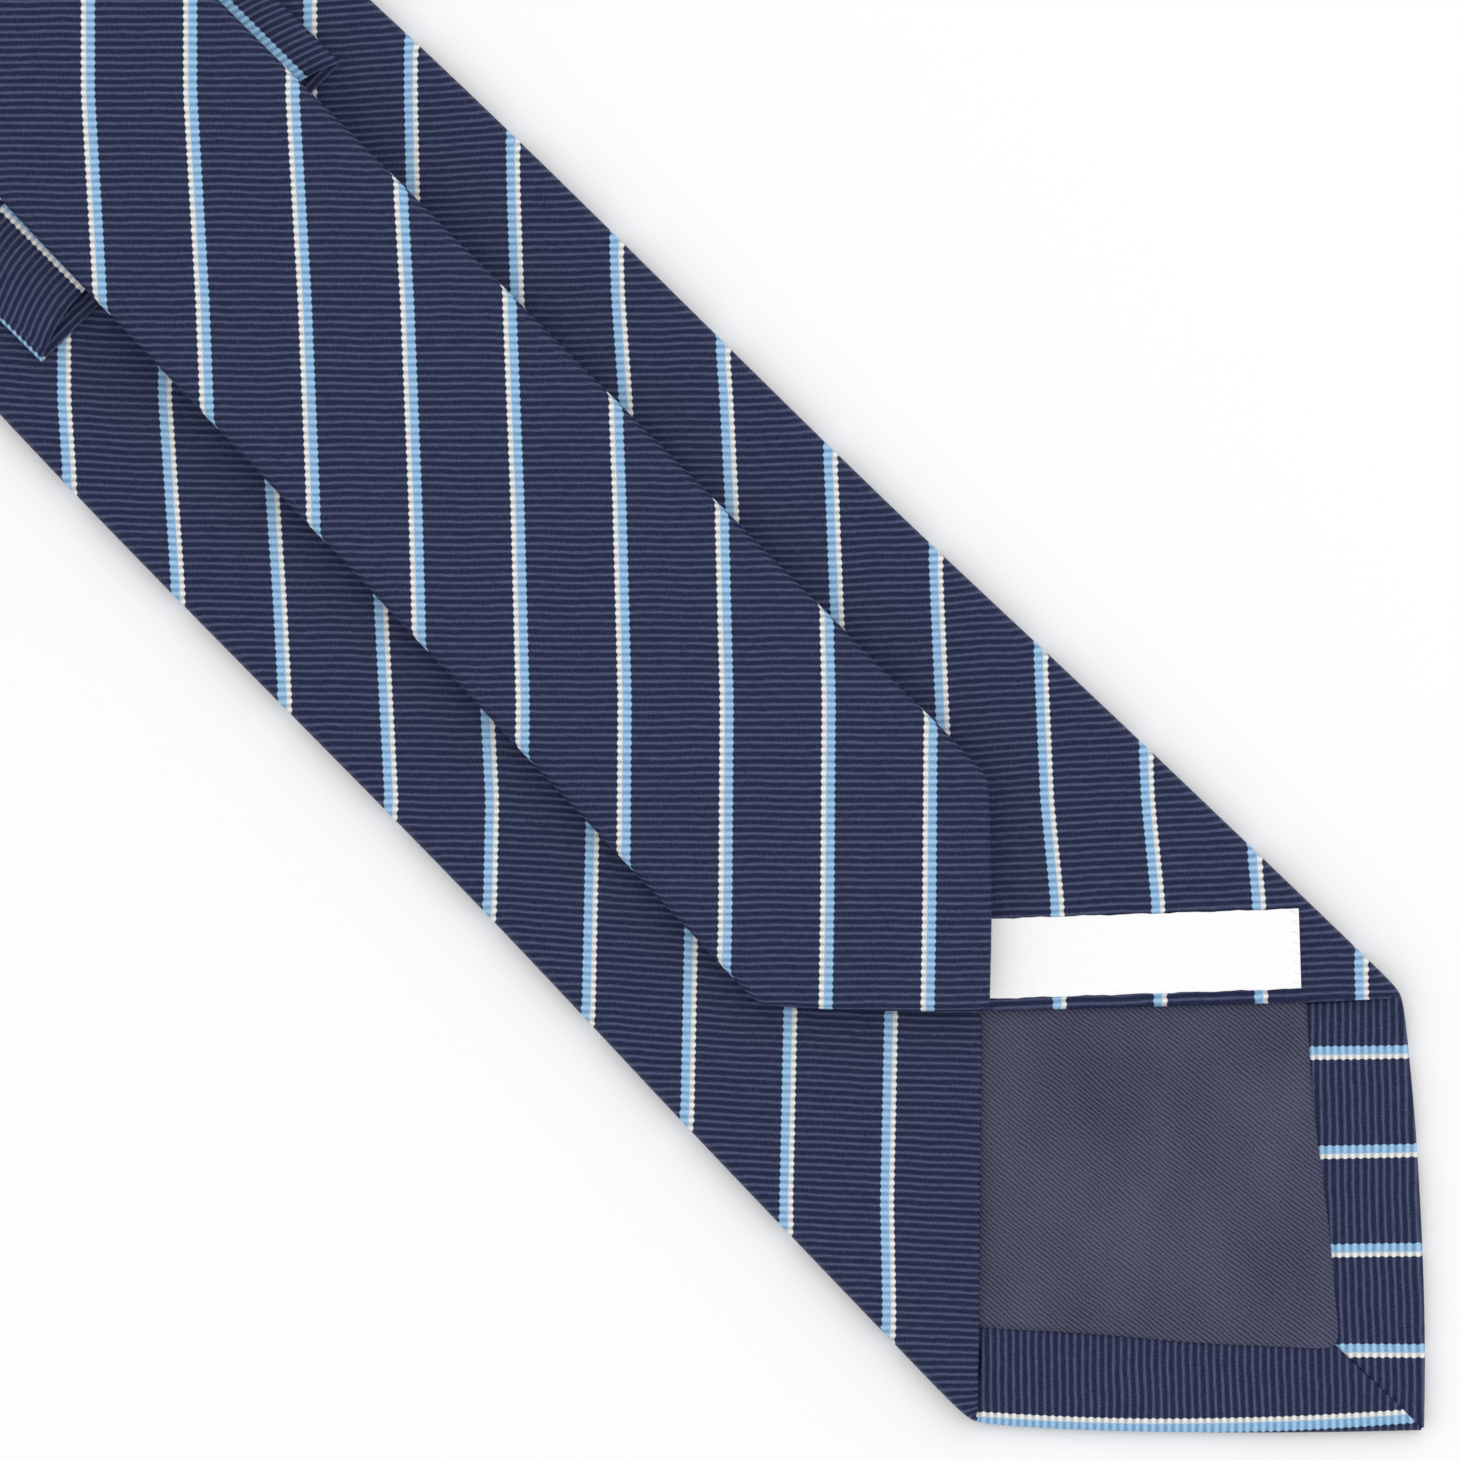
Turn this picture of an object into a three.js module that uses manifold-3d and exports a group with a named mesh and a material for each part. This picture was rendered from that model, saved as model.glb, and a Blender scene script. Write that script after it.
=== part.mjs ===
// Gentleman's three-fold silk necktie, folded once at the neck: the wide blade lies face down,
// the narrow tail lies face up on top of it. Millimetres, +X towards the two pointed ends,
// +Z up, origin on the ground under the middle of the folded tie.

import * as THREE from 'three';
import { mergeVertices } from 'three/addons/utils/BufferGeometryUtils.js';
import Module from 'manifold-3d';

// ---- driving dimensions -------------------------------------------------------------------

const tieLength = 1470;        // wide tip to narrow tip along the face
const tipStagger = 84;         // the narrow tip lies this far behind the wide tip

const clothThickness = 0.5;    // repp silk
const coreThickness = 1.5;     // wool interlining
const liningThickness = 0.4;   // satin tipping
const layerGap = 0.3;          // air between neighbouring layers
const seamGap = 0.3;           // slit between the two flaps along the back
const joinGap = 0.3;           // slit at a bias join or a joint

const bladeWidth = 85.4;       // across the corners of the wide point
const tailWidth = 45.3;
const neckWidth = 31.5;
const bladeTipDepth = 44.6;    // from the tip back to the corners
const tailTipDepth = 23.2;
const bladeApexDepth = 84.6;   // the two flaps part here, counted from the wide tip
const tailApexDepth = 45;
const bladeHem = 13.5;         // self-cloth hem along each edge of the point
const tailHem = 8;
const bladeTippingEnd = 150;   // how deep the lining reaches from the wide tip
const tailTippingEnd = 80;
const bladeNeckCloth = 130;    // neck cloth from the fold to its bias join on the blade side
const tailNeckCloth = 256;
const tailBow = 4.2;           // sideways bow of the tail as it lies on the blade

// How each end narrows: share of the way from its corners to the fold, and share of the
// extra width that is left there.
const bladeTaper = [[0, 1], [0.076, 0.954], [0.138, 0.905], [0.269, 0.859], [0.6, 0.473],
  [0.82, 0.121], [0.93, 0.019], [1, 0]];
const tailTaper = [[0, 1], [0.116, 0.833], [0.252, 0.667], [0.569, 0.217], [0.81, 0.022], [1, 0]];

const foldJoints = 6;          // the neck bends 180 degrees over this many hinge lines, each
                               // followed by one facet; the last facet meets the tail

const keeperDepth = 242;       // near edge of the keeper loop, from the wide tip
const keeperWidth = 16.4;
const keeperSpan = 59;         // end to end across the tie
const keeperCloth = 0.5;
const keeperSlot = 1.6;        // clear height inside the loop at rest

const labelLength = 44.5;
const labelWidth = 11.1;
const labelThickness = 0.25;
const labelInset = 1.7;        // from the flap's free edge
const labelStart = 15.1;       // from the blade's side fold, along the free edge

const tackLength = 8;
const tackWidth = 1.2;
const tackSetback = 3;         // from the flaps' parting, or from the label's inner corner
const tackGap = 0.1;           // stitches lie close to the cloth that they are sewn in
const threadThickness = 0.3;
const slipStitchWidth = 0.5;

// ---- levels, counted from the face of the cloth -------------------------------------------

const coreLevel = clothThickness + layerGap;
const liningLevel = coreLevel + coreThickness + layerGap;
const flapLevel = liningLevel + liningThickness + layerGap;
const stackHeight = flapLevel + clothThickness;

const labelLevel = stackHeight + layerGap;
const tailLowLevel = labelLevel + labelThickness + layerGap + threadThickness;
const keeperBaseLevel = stackHeight + layerGap;
const keeperTopLevel = keeperBaseLevel + keeperCloth + keeperSlot;
const tailHighLevel = keeperTopLevel + keeperCloth + layerGap;
const foldedHeight = tailHighLevel + stackHeight;

// ---- the neck fold: a regular polygon arc on the face of the cloth ------------------------

const foldStep = Math.PI / foldJoints;
const facetLength = foldedHeight * Math.tan(foldStep / 2);
const foldedArc = (foldJoints - 1) * facetLength;
const bladeRun = (tieLength - foldedArc + tipStagger) / 2;
const tailRun = bladeRun - tipStagger - facetLength;

// Hinge lines from the blade's end on, in [x, z], and last the line where the tail starts.
const foldPoints = [new THREE.Vector2(0, 0)];
for (let i = 1; i <= foldJoints; i += 1) {
  const last = foldPoints[i - 1];
  const turn = i * foldStep;
  foldPoints.push(new THREE.Vector2(
    last.x - facetLength * Math.cos(turn), last.y + facetLength * Math.sin(turn)));
}
const foldBulge = -Math.min(...foldPoints.map((point) => point.x));
const wideTipX = (bladeRun + foldBulge) / 2;
const hingeX = wideTipX - bladeRun;

// ---- widths and placing -------------------------------------------------------------------

// Width at a distance from the tip: a straight-sided point, then a smooth taper to the fold.
function widthAt({ width, tipDepth, taper, run }, s) {
  if (s <= tipDepth) return width * s / tipDepth;
  const share = Math.min((s - tipDepth) / (run - tipDepth), 1);
  const slope = (i) => {
    const before = taper[Math.max(i - 1, 0)];
    const after = taper[Math.min(i + 1, taper.length - 1)];
    return (after[1] - before[1]) / (after[0] - before[0]);
  };
  let i = 0;
  while (i < taper.length - 2 && share > taper[i + 1][0]) i += 1;
  const stretch = taper[i + 1][0] - taper[i][0];
  const t = (share - taper[i][0]) / stretch;
  const h = t * t * (3 - 2 * t);
  const ease = stretch * t * (1 - t);
  const left = taper[i][1] * (1 - h) + taper[i + 1][1] * h
    + ease * ((1 - t) * slope(i) - t * slope(i + 1));
  return neckWidth + (width - neckWidth) * left;
}

// Level of the tail's back: low near the tip, raised where it crosses the keeper and the neck.
const riseEnd = keeperDepth - tipStagger - 8;
const riseStart = riseEnd - 60;
function tailBackLevel(s) {
  return tailLowLevel
    + (tailHighLevel - tailLowLevel) * THREE.MathUtils.smoothstep(s, riseStart, riseEnd);
}

const blade = {
  width: bladeWidth,
  tipDepth: bladeTipDepth,
  taper: bladeTaper,
  run: bladeRun,
  apexDepth: bladeApexDepth,
  mitre: -Math.tan(foldStep / 2),
  hem: bladeHem,
  tippingEnd: bladeTippingEnd,
  join: bladeRun - bladeNeckCloth,
  place: (s, y, z) => new THREE.Vector3(wideTipX - s, y, z),
};
const tail = {
  width: tailWidth,
  tipDepth: tailTipDepth,
  taper: tailTaper,
  run: tailRun,
  apexDepth: tailApexDepth,
  mitre: 0,
  hem: tailHem,
  tippingEnd: tailTippingEnd,
  join: tailRun - tailNeckCloth,
  place: (s, y, z) => new THREE.Vector3(
    wideTipX - tipStagger - s,
    y + tailBow * Math.sin(Math.PI * s / tailRun),
    tailBackLevel(s) + stackHeight - z),
};
const halfWidth = (end, s) => widthAt(end, s) / 2;

// ---- solids -------------------------------------------------------------------------------

function signedVolume(geometry) {
  const points = geometry.getAttribute('position');
  const [a, b, c] = [new THREE.Vector3(), new THREE.Vector3(), new THREE.Vector3()];
  let volume = 0;
  for (let i = 0; i < geometry.index.count; i += 3) {
    a.fromBufferAttribute(points, geometry.index.getX(i));
    b.fromBufferAttribute(points, geometry.index.getX(i + 1));
    c.fromBufferAttribute(points, geometry.index.getX(i + 2));
    volume += a.dot(b.cross(c)) / 6;
  }
  return volume;
}

// Turns a closed surface so that its faces point out.
function faceOut(geometry) {
  if (signedVolume(geometry) < 0) {
    const index = geometry.index;
    for (let i = 0; i < index.count; i += 3) {
      const swap = index.getX(i);
      index.setX(i, index.getX(i + 1));
      index.setX(i + 1, swap);
    }
  }
  return geometry;
}

// A closed solid through matching outlines, with a flat cap at each end.
function loft(outlines, capShape) {
  const count = capShape.length;
  const positions = [];
  for (const outline of outlines) {
    for (const point of outline) positions.push(point.x, point.y, point.z);
  }
  const index = [];
  for (let k = 0; k + 1 < outlines.length; k += 1) {
    for (let i = 0; i < count; i += 1) {
      const j = (i + 1) % count;
      const [a, b] = [k * count + i, k * count + j];
      index.push(a, b, a + count, b, b + count, a + count);
    }
  }
  const cap = THREE.ShapeUtils.triangulateShape(capShape, []);
  const capTurns = THREE.ShapeUtils.area(capShape) > 0;
  const last = (outlines.length - 1) * count;
  for (const triangle of cap) {
    const [a, b, c] = capTurns ? triangle : [...triangle].reverse();
    index.push(a, c, b);
    index.push(last + a, last + b, last + c);
  }
  const geometry = new THREE.BufferGeometry();
  geometry.setAttribute('position', new THREE.Float32BufferAttribute(positions, 3));
  geometry.setIndex(index);
  return faceOut(geometry);
}

// A band along an end of the tie. sectionAt(s) gives its [y, z] outline; from.y and to.y slant
// the first and last outline for a bias join, from.z and to.z lean them back for a mitre.
const stationStep = 22;
function band(end, from, to, sectionAt) {
  const outlineAt = ({ s, y: slant = 0, z: mitre = 0 }) => sectionAt(s).map((corner, k) => {
    let [y, z] = corner;
    for (let pass = 0; pass < 4; pass += 1) [y, z] = sectionAt(s + slant * y)[k];
    return end.place(s + slant * y + mitre * z, y, z);
  });
  const slantReach = ({ s, y: slant = 0 }) => {
    const half = Math.max(...sectionAt(s).map(([y]) => Math.abs(y)));
    return Math.abs(slant) * (half * 1.2 + 3);
  };
  const start = from.s + slantReach(from);
  const stop = to.s - slantReach(to);
  const steps = Math.max(1, Math.round((stop - start) / stationStep));
  const outlines = [outlineAt(from)];
  for (let i = from.y ? 0 : 1; i <= (to.y ? steps : steps - 1); i += 1) {
    outlines.push(outlineAt({ s: start + (stop - start) * i / steps }));
  }
  outlines.push(outlineAt(to));
  return loft(outlines, sectionAt(from.s).map(([y, z]) => new THREE.Vector2(y, z)));
}

// A flat piece cut to an outline of [s, y] points, between two levels.
function sheet(end, outline, low, high) {
  const shape = new THREE.Shape(outline.map(([s, y]) => new THREE.Vector2(s, y)));
  const cut = new THREE.ExtrudeGeometry(shape, { depth: high - low, bevelEnabled: false, steps: 1 });
  cut.deleteAttribute('normal');
  cut.deleteAttribute('uv');
  const geometry = mergeVertices(cut, 1e-4);
  const points = geometry.getAttribute('position');
  for (let i = 0; i < points.count; i += 1) {
    const place = end.place(points.getX(i), points.getY(i), low + points.getZ(i));
    points.setXYZ(i, place.x, place.y, place.z);
  }
  return faceOut(geometry);
}

const wasm = await Module();
wasm.setup();

function join(geometries) {
  const solids = geometries.map((geometry) => {
    const vertProperties = new Float32Array(geometry.getAttribute('position').array);
    const triVerts = new Uint32Array(geometry.index.array);
    return new wasm.Manifold(new wasm.Mesh({ numProp: 3, vertProperties, triVerts }));
  });
  const mesh = solids.reduce((whole, solid) => whole.add(solid)).getMesh();
  const geometry = new THREE.BufferGeometry();
  geometry.setAttribute('position', new THREE.BufferAttribute(mesh.vertProperties, 3));
  geometry.setIndex(new THREE.BufferAttribute(mesh.triVerts, 1));
  return geometry;
}

// ---- cloth shell --------------------------------------------------------------------------

// Open-backed tube: face, two side folds and two flaps that meet at the centre slit.
function tubeSection(half) {
  const t = clothThickness;
  const edge = seamGap / 2;
  const right = [[half, 0], [half, stackHeight], [edge, stackHeight], [edge, flapLevel],
    [half - t, flapLevel], [half - t, t]];
  return [...right, ...right.map(([y, z]) => [-y, z]).reverse()];
}

// Points along the side fold, inset by the given amount.
function sideLine(end, from, to, inset) {
  const steps = Math.max(1, Math.round((to - from) / 15));
  const line = [];
  for (let i = 0; i <= steps; i += 1) {
    const s = from + (to - from) * i / steps;
    line.push([s, halfWidth(end, s) - inset]);
  }
  return line;
}

// Where a line parallel to the point's edge, moved in by the given width, crosses the axis.
function innerTip(end, inset) {
  const half = end.width / 2;
  return inset * Math.hypot(end.tipDepth, half) / half;
}

const mirror = (outline) => outline.map(([s, y]) => [s, -y]);

// The pointed end of the shell: face, side folds, mitred hems and the flaps' slanting edges.
function pointedEnd(end) {
  const t = clothThickness;
  const tipDepth = end.tipDepth;
  const back = end.apexDepth + 2;
  const side = sideLine(end, tipDepth, back, 0);
  const innerSide = sideLine(end, tipDepth, back, t).reverse();
  const corner = side[0];
  const face = [[0, 0], ...side, ...mirror(side).reverse()];
  const wall = [...side, ...innerSide];
  const flap = [...side, [back, seamGap / 2], [end.apexDepth, seamGap / 2]];
  const wallTip = innerTip(end, t);
  const pointWall = [[0, 0], corner, [tipDepth + wallTip, corner[1] - t / 2], [wallTip, 0]];
  const hemTip = innerTip(end, end.hem);
  const hemEnd = tipDepth + hemTip;
  const hem = [[0, 0], corner, [hemEnd, halfWidth(end, hemEnd) - t / 2], [hemTip, 0]];
  const hemTop = liningLevel + liningThickness;
  const solids = [sheet(end, face, 0, t)];
  for (const hand of [(outline) => outline, mirror]) {
    solids.push(sheet(end, hand(wall), 0, stackHeight));
    solids.push(sheet(end, hand(flap), flapLevel, stackHeight));
    solids.push(sheet(end, hand(pointWall), 0, hemTop));
    solids.push(sheet(end, hand(hem), liningLevel, hemTop));
  }
  return solids;
}

// The end cloth runs from its point to the bias join.
function endShell(end) {
  const from = { s: end.apexDepth };
  const to = { s: end.join - joinGap / 2, y: 1 };
  return join([...pointedEnd(end), band(end, from, to, (s) => tubeSection(halfWidth(end, s)))]);
}

// The neck cloth runs from the bias join to the fold, where the blade side is mitred.
function neckShell(end) {
  const from = { s: end.join + joinGap, y: 1 };
  const to = { s: end.run - joinGap / 2, z: end.mitre };
  return band(end, from, to, (s) => tubeSection(halfWidth(end, s)));
}

// ---- what the shell holds -----------------------------------------------------------------

const wallInset = clothThickness + layerGap;

function interlining(end) {
  const tipDepth = end.tipDepth;
  const start = innerTip(end, wallInset);
  const first = start + 1.5;
  const section = (s) => {
    const point = (s - start) * end.width / 2 / tipDepth;
    const half = Math.min(point, halfWidth(end, s) - wallInset);
    return [[half, coreLevel], [half, coreLevel + coreThickness], [-half, coreLevel + coreThickness],
      [-half, coreLevel]];
  };
  const tip = band(end, { s: first }, { s: tipDepth }, section);
  const to = { s: end.run - joinGap / 2, z: end.mitre };
  const rest = band(end, { s: tipDepth }, to, section);
  return join([tip, rest]);
}

// Satin lining: fills the point behind the hems and reaches back under the flaps.
function tipping(end) {
  const start = innerTip(end, end.hem + layerGap);
  const side = sideLine(end, end.tipDepth + start + 2, end.tippingEnd, wallInset);
  const outline = [[start, 0], ...side, ...mirror(side).reverse()];
  return sheet(end, outline, liningLevel, liningLevel + liningThickness);
}

// The hand-sewn thread that closes the two flaps, running inside along the slit.
function slipStitch(end) {
  const half = slipStitchWidth / 2;
  const low = liningLevel;
  const section = () => [[half, low], [half, low + threadThickness], [-half, low + threadThickness],
    [-half, low]];
  const from = { s: end.tippingEnd + 4 };
  const to = { s: end.run - 6 };
  return band(end, from, to, section);
}

// Machine stitches of a bias join, lying inside the tube beside the slip stitch.
function joinThread(end) {
  const reach = halfWidth(end, end.join) - wallInset - 1;
  const clear = slipStitchWidth / 2 + layerGap;
  const half = threadThickness / 2;
  const outline = [[end.join + clear - half, clear], [end.join + reach - half, reach],
    [end.join + reach + half, reach], [end.join + clear + half, clear]];
  return sheet(end, outline, liningLevel, liningLevel + threadThickness);
}

// The short bar of stitches that locks the slip stitch.
function barTack(end, s, level) {
  const [along, across] = [tackWidth / 2, tackLength / 2];
  const outline = [[s - along, -across], [s + along, -across], [s + along, across], [s - along, across]];
  return sheet(end, outline, level, level + threadThickness);
}

// ---- label --------------------------------------------------------------------------------

// A frame on the right-hand flap: along its free edge from the side fold, and away from it.
const freeEdgeStart = new THREE.Vector2(bladeTipDepth, bladeWidth / 2);
const freeEdge = new THREE.Vector2(bladeApexDepth, 0).sub(freeEdgeStart).normalize();
const awayFromEdge = new THREE.Vector2(-freeEdge.y, freeEdge.x);
function onFlap(along, away) {
  const point = freeEdgeStart.clone().addScaledVector(freeEdge, along);
  return point.addScaledVector(awayFromEdge, away).toArray();
}

function flapPatch(along, length, away, width, level, thickness) {
  const outline = [onFlap(along, away), onFlap(along + length, away),
    onFlap(along + length, away + width), onFlap(along, away + width)];
  return sheet(blade, outline, level, level + thickness);
}

function label() {
  return flapPatch(labelStart, labelLength, labelInset, labelWidth, labelLevel, labelThickness);
}

// A row of stitches across one short end of the label.
function labelStitch(along) {
  const level = labelLevel + labelThickness + tackGap;
  return flapPatch(along, 0.5, labelInset + 0.8, labelWidth - 1.6, level, threadThickness / 2);
}

// ---- keeper loop --------------------------------------------------------------------------

const keeperNear = wideTipX - keeperDepth;
const keeperRise = 2 * keeperCloth + keeperSlot;
const keeperStraight = keeperSpan / 2 - keeperRise / 2;

// A length of keeper cloth: an outline of [y, z] points carried across the strip's width.
function keeperPiece(outline) {
  const at = (x) => outline.map(([y, z]) => new THREE.Vector3(x, y, keeperBaseLevel + z));
  const shape = outline.map(([y, z]) => new THREE.Vector2(y, z));
  return loft([at(keeperNear), at(keeperNear - keeperWidth)], shape);
}

function keeperLayer(low) {
  const half = keeperStraight - joinGap;
  return keeperPiece([[-half, low], [half, low], [half, low + keeperCloth], [-half, low + keeperCloth]]);
}

// The rounded turn at one end of the loop; side is +1 or -1 across the tie.
function keeperTurn(side) {
  const outer = keeperRise / 2;
  const inner = outer - keeperCloth;
  const arcSteps = 8;
  const outline = [];
  for (let i = 0; i <= arcSteps; i += 1) {
    const angle = -Math.PI / 2 + Math.PI * i / arcSteps;
    outline.push([keeperStraight + outer * Math.cos(angle), outer + outer * Math.sin(angle)]);
  }
  for (let i = arcSteps; i >= 0; i -= 1) {
    const angle = -Math.PI / 2 + Math.PI * i / arcSteps;
    outline.push([keeperStraight + inner * Math.cos(angle), outer + inner * Math.sin(angle)]);
  }
  return keeperPiece(outline.map(([y, z]) => [side * y, z]));
}

// ---- neck fold ----------------------------------------------------------------------------

// One facet of the fold: full stack thickness, hinged on the face of the cloth, mitred inside.
// The last facet lies in line with the tail and is cut square where it meets it.
function foldFacet(i) {
  const turn = i * foldStep;
  const along = new THREE.Vector2(-Math.cos(turn), Math.sin(turn));
  const inward = new THREE.Vector2(Math.sin(turn), Math.cos(turn));
  const shrink = stackHeight * Math.tan(foldStep / 2);
  const farShrink = i === foldJoints ? 0 : shrink;
  const [a, b] = [foldPoints[i - 1], foldPoints[i]];
  const slit = joinGap / 2;
  const outline = [
    a.clone().addScaledVector(along, slit),
    b.clone().addScaledVector(along, -slit),
    b.clone().addScaledVector(along, -slit - farShrink).addScaledVector(inward, stackHeight),
    a.clone().addScaledVector(along, slit + shrink).addScaledVector(inward, stackHeight),
  ];
  const half = halfWidth(blade, bladeRun);
  const at = (y) => outline.map((point) => new THREE.Vector3(hingeX + point.x, y, point.y));
  return loft([at(-half), at(half)], outline);
}

// ---- assembly -----------------------------------------------------------------------------

const group = new THREE.Group();

function add(name, geometry, color, roughness) {
  const material = new THREE.MeshStandardMaterial({ color, roughness, metalness: 0 });
  geometry.computeVertexNormals();
  const mesh = new THREE.Mesh(geometry, material);
  mesh.name = name;
  group.add(mesh);
}

const navySilk = 0x333851;
const navySatin = 0x4a4c61;
const paleWool = 0xd8d2c2;
const whiteTape = 0xfafafc;
const navyThread = 0x262b45;
const whiteThread = 0xf0f0ee;

add('blade_shell', endShell(blade), navySilk, 0.75);
add('blade_tipping', tipping(blade), navySatin, 0.45);
add('interlining_blade_side', interlining(blade), paleWool, 0.95);
add('slip_stitch_blade_side', slipStitch(blade), navyThread, 0.8);
const [labelReach] = onFlap(labelStart + labelLength, labelInset + labelWidth);
const bladeTack = Math.max(bladeApexDepth, labelReach) + tackSetback;
add('blade_bar_tack', barTack(blade, bladeTack, stackHeight + layerGap), navyThread, 0.8);
add('label', label(), whiteTape, 0.7);
add('label_stitch_outer', labelStitch(labelStart + 0.8), whiteThread, 0.8);
add('label_stitch_inner', labelStitch(labelStart + labelLength - 1.3), whiteThread, 0.8);
add('neck_shell_blade_side', neckShell(blade), navySilk, 0.75);
add('blade_join_thread', joinThread(blade), navyThread, 0.8);

add('keeper_loop_base', keeperLayer(0), navySilk, 0.75);
add('keeper_loop_top', keeperLayer(keeperCloth + keeperSlot), navySilk, 0.75);
add('keeper_turn_left', keeperTurn(-1), navySilk, 0.75);
add('keeper_turn_right', keeperTurn(1), navySilk, 0.75);

for (let i = 1; i <= foldJoints; i += 1) add(`neck_fold_${i}`, foldFacet(i), navySilk, 0.75);

add('neck_shell_tail_side', neckShell(tail), navySilk, 0.75);
add('tail_join_thread', joinThread(tail), navyThread, 0.8);
add('tail_shell', endShell(tail), navySilk, 0.75);
add('tail_tipping', tipping(tail), navySatin, 0.45);
add('interlining_tail_side', interlining(tail), paleWool, 0.95);
add('slip_stitch_tail_side', slipStitch(tail), navyThread, 0.8);
const tailTack = tailApexDepth + tackSetback;
add('tail_bar_tack', barTack(tail, tailTack, stackHeight + tackGap), navyThread, 0.8);

export default group;
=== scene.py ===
"""Gentleman's striped repp silk necktie, folded at the neck: blade face down, tail face up."""

import math

import bpy
import numpy as np
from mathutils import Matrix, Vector


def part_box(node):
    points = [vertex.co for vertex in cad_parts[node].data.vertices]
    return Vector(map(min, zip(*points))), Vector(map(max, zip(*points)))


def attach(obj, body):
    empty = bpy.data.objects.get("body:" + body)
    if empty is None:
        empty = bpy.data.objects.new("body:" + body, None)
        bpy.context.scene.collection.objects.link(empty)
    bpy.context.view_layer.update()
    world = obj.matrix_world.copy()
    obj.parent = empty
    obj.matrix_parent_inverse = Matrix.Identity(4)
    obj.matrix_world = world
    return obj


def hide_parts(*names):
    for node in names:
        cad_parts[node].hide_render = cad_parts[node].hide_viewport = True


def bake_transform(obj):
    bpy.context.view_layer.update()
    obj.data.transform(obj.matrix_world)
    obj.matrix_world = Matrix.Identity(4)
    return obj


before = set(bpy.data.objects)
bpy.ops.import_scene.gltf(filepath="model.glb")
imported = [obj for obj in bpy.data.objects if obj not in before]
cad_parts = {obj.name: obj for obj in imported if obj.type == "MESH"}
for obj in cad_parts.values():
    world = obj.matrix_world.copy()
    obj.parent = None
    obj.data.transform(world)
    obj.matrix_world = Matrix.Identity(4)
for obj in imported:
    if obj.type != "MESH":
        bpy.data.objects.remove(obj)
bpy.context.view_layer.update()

MM = 0.001

# ---- sizes, in mm, as in the CAD ----

STACK = 3.8                 # face of the cloth to the back of the flaps
CLOTH = 0.45
# Levels of the middle of each layer, counted up from the face.
FACE_LEVEL = 0.25
HEM_LEVEL = 2.15
THREAD_LEVEL = 2.62         # threads that run inside the tube
TURN_IN_LEVEL = 3.05
FLAP_LEVEL = 3.55
ROLL_RADIUS = 1.35          # of a side fold, seen from above
SEAM_HALF = 0.36            # from the middle of the back to a flap's free edge
SEAM_ROUND = 0.25           # how far that edge rounds over as it turns in
HEM_EXTRA = 1.3             # the hems are cut this much deeper than they show
TURN_IN = 7.0               # width of the strip turned in under a flap's edge
THIN_CLOTH = 0.22           # lining and label tape
WOOL_LEVEL, WOOL_CLOTH = 1.28, 1.15
JOIN_EASE = 70.0            # rows take up the slant of a bias join over this length
NECK_HALF = 15.75
FOLD_HEIGHT = 10.8
FOLD_STEP = math.radians(30)
FOLD_PIECES = 6
WIDE_TIP_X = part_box("blade_shell")[1][0] / MM
NARROW_TIP_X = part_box("tail_shell")[1][0] / MM
HINGE_X = WIDE_TIP_X - 769.765
TAIL_START_X = HINGE_X + 2.894
TAIL_BOW, BOW_LENGTH = 4.2, 682.87

STRIPE_PITCH = 14.07
RIB_PITCH = 1.06
VIEW_X, VIEW_Y = 249.8, 2.1  # the middle of the stretch seen in the photo

BLADE = dict(
    sign=1, width=85.4, tip=44.6, apex=84.6, hem=13.5, tipping=150.0, run=769.765, join=639.8,
    round=1.6, bow=1.5,
    taper=[(0, 1), (0.076, 0.954), (0.138, 0.905), (0.269, 0.859), (0.6, 0.473),
           (0.82, 0.121), (0.93, 0.019), (1, 0)])
TAIL = dict(
    sign=-1, width=45.3, tip=23.2, apex=45.0, hem=8.0, tipping=80.0, run=682.871, join=426.9,
    round=0.9, bow=0.5,
    taper=[(0, 1), (0.116, 0.833), (0.252, 0.667), (0.569, 0.217), (0.81, 0.022), (1, 0)])


def smooth(t):
    """From 0 at t = 0 to 1 at t = 1, level at both ends."""
    t = np.clip(t, 0, 1)
    return t * t * (3 - 2 * t)


def width_at(end, s):
    """Half the width behind the corners, as in the CAD: a smooth taper down to the neck."""
    knots = np.array(end["taper"], float)
    share = np.clip((np.asarray(s, float) - end["tip"]) / (end["run"] - end["tip"]), 0, 1)
    before = knots[np.maximum(np.arange(len(knots)) - 1, 0)]
    after = knots[np.minimum(np.arange(len(knots)) + 1, len(knots) - 1)]
    slope = (after[:, 1] - before[:, 1]) / (after[:, 0] - before[:, 0])
    i = np.clip(np.searchsorted(knots[:, 0], share, side="left") - 1, 0, len(knots) - 2)
    stretch = knots[i + 1, 0] - knots[i, 0]
    t = (share - knots[i, 0]) / stretch
    h = t * t * (3 - 2 * t)
    ease = stretch * t * (1 - t)
    left = (knots[i, 1] * (1 - h) + knots[i + 1, 1] * h
            + ease * ((1 - t) * slope[i] - t * slope[i + 1]))
    return NECK_HALF + (end["width"] / 2 - NECK_HALF) * left


def half_at(end, s):
    """Half the outline's width: bowed point edges that round into the side folds."""
    s = np.asarray(s, float)
    point = end["width"] / 2 * s / end["tip"]
    point = point + end["bow"] * np.sin(np.pi * np.clip(s / end["tip"], 0, 1))
    first = width_at(end, end["tip"] + 1.0)
    slope = width_at(end, end["tip"] + 2.0) - first
    side = np.where(s > end["tip"], width_at(end, s), first + slope * (s - end["tip"] - 1.0))
    k = end["round"]
    rounded = 0.5 * (point + side - np.sqrt((point - side) ** 2 + k * k))
    return rounded + 0.12 * k * k / (k + np.abs(point - side))


def tail_back(s):
    """Height of the tail's underside: it climbs from the blade onto the keeper loop."""
    return 4.95 + 2.05 * smooth((s - 90.0) / 60.0)


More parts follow.
